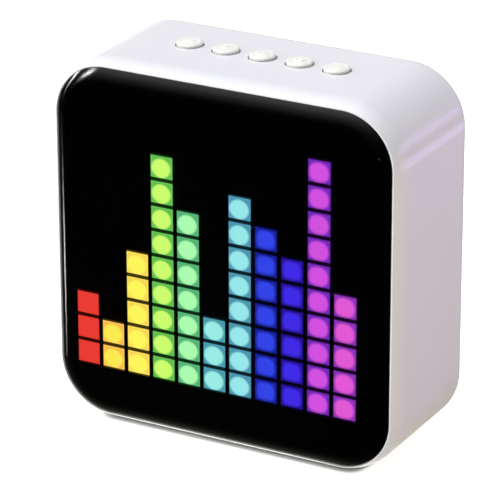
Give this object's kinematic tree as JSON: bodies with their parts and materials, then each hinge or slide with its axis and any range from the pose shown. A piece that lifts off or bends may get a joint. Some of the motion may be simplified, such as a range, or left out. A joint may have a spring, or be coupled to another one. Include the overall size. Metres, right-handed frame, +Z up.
{
  "type": "pixel desk clock",
  "caption": "Rounded square desk clock with a black lens over a grid of coloured pixels, push buttons on top and a loudspeaker grille behind",
  "frame": {"origin": "middle of the footprint, on the surface that the clock stands on", "axes": "+X to the right of someone facing the display, +Y from the display to the back, +Z up"},
  "size_m": [0.1, 0.0428, 0.1019],
  "materials": {
    "white_shell": "satin white moulded plastic with a soft sheen",
    "white_cover": "fine matt white moulded plastic",
    "white_button": "satin white moulded plastic",
    "dark_screw": "blackened steel",
    "rubber_foot": "matt dark grey rubber",
    "black_lens": "polished black smoked acrylic",
    "black_foam": "closed black foam",
    "smoked_diffuser": "matt smoked diffuser film",
    "black_plastic": "matt black moulded plastic",
    "circuit_board": "green solder mask",
    "led_package": "ivory package",
    "chip_black": "matt black epoxy",
    "steel_screw": "plated steel",
    "steel_can": "tinned steel",
    "ivory_plastic": "ivory moulded plastic",
    "blue_wrap": "blue heat-shrunk wrap",
    "red_lead": "red insulated wire",
    "black_mesh": "black woven mesh",
    "pressed_steel": "black painted pressed steel",
    "plated_iron": "yellow passivated iron",
    "ferrite": "dark grey ferrite",
    "black_rubber": "matt black rubber",
    "cone_paper": "black coated paper",
    "copper_coil": "enamelled copper wire"
  },
  "bodies": {
    "clock": {"front_shell": "white_shell", "rear_cover": "white_cover", "rear_screws": "dark_screw", "feet": "rubber_foot", "display_lens": "black_lens", "lens_adhesive": "black_foam", "diffuser_sheet": "smoked_diffuser", "led_baffle": "black_plastic", "led_board": "circuit_board", "leds": "led_package", "led_drivers": "chip_black", "display_screws": "steel_screw", "microphone": "steel_can", "board_header": "chip_black", "main_board": "circuit_board", "main_board_screws": "steel_screw", "main_chips": "chip_black", "radio_shield": "steel_can", "lead_sockets": "ivory_plastic", "backup_clip": "chip_black", "backup_cell": "steel_can", "battery_cradle": "white_cover", "battery_cell": "blue_wrap", "battery_strap": "black_foam", "battery_leads": "red_lead", "port_board": "circuit_board", "port_screws": "steel_screw", "usb_socket": "steel_can", "usb_tongue": "black_plastic", "port_leads": "red_lead", "grille_mesh": "black_mesh", "speaker_gasket": "black_foam", "speaker_basket": "pressed_steel", "speaker_top_plate": "plated_iron", "speaker_magnet": "ferrite", "speaker_yoke": "plated_iron", "speaker_surround": "black_rubber", "speaker_screws": "steel_screw", "speaker_leads": "red_lead", "button_board": "circuit_board", "button_board_screws": "steel_screw", "tact_switches": "steel_can", "button_leads": "red_lead"},
    "cone": {"speaker_cone": "cone_paper", "voice_coil": "copper_coil", "dust_cap": "cone_paper"},
    "key_1": {"button_1": "white_button", "plunger_1": "black_plastic"},
    "key_2": {"button_2": "white_button", "plunger_2": "black_plastic"},
    "key_3": {"button_3": "white_button", "plunger_3": "black_plastic"},
    "key_4": {"button_4": "white_button", "plunger_4": "black_plastic"},
    "key_5": {"button_5": "white_button", "plunger_5": "black_plastic"}
  },
  "joints": [
    {"name": "button_1_press", "type": "slide", "parent": "clock", "child": "key_1", "axis": [0, 0, -1], "range_m": [0, 0.0005], "stiffness_N_per_m": 400},
    {"name": "button_2_press", "type": "slide", "parent": "clock", "child": "key_2", "axis": [0, 0, -1], "range_m": [0, 0.0005], "stiffness_N_per_m": 400},
    {"name": "button_3_press", "type": "slide", "parent": "clock", "child": "key_3", "axis": [0, 0, -1], "range_m": [0, 0.0005], "stiffness_N_per_m": 400},
    {"name": "button_4_press", "type": "slide", "parent": "clock", "child": "key_4", "axis": [0, 0, -1], "range_m": [0, 0.0005], "stiffness_N_per_m": 400},
    {"name": "button_5_press", "type": "slide", "parent": "clock", "child": "key_5", "axis": [0, 0, -1], "range_m": [0, 0.0005], "stiffness_N_per_m": 400},
    {"name": "cone_travel", "type": "slide", "parent": "clock", "child": "cone", "axis": [0, 1, 0], "range_m": [-0.0008, 0.0008], "stiffness_N_per_m": 1500}
  ]
}
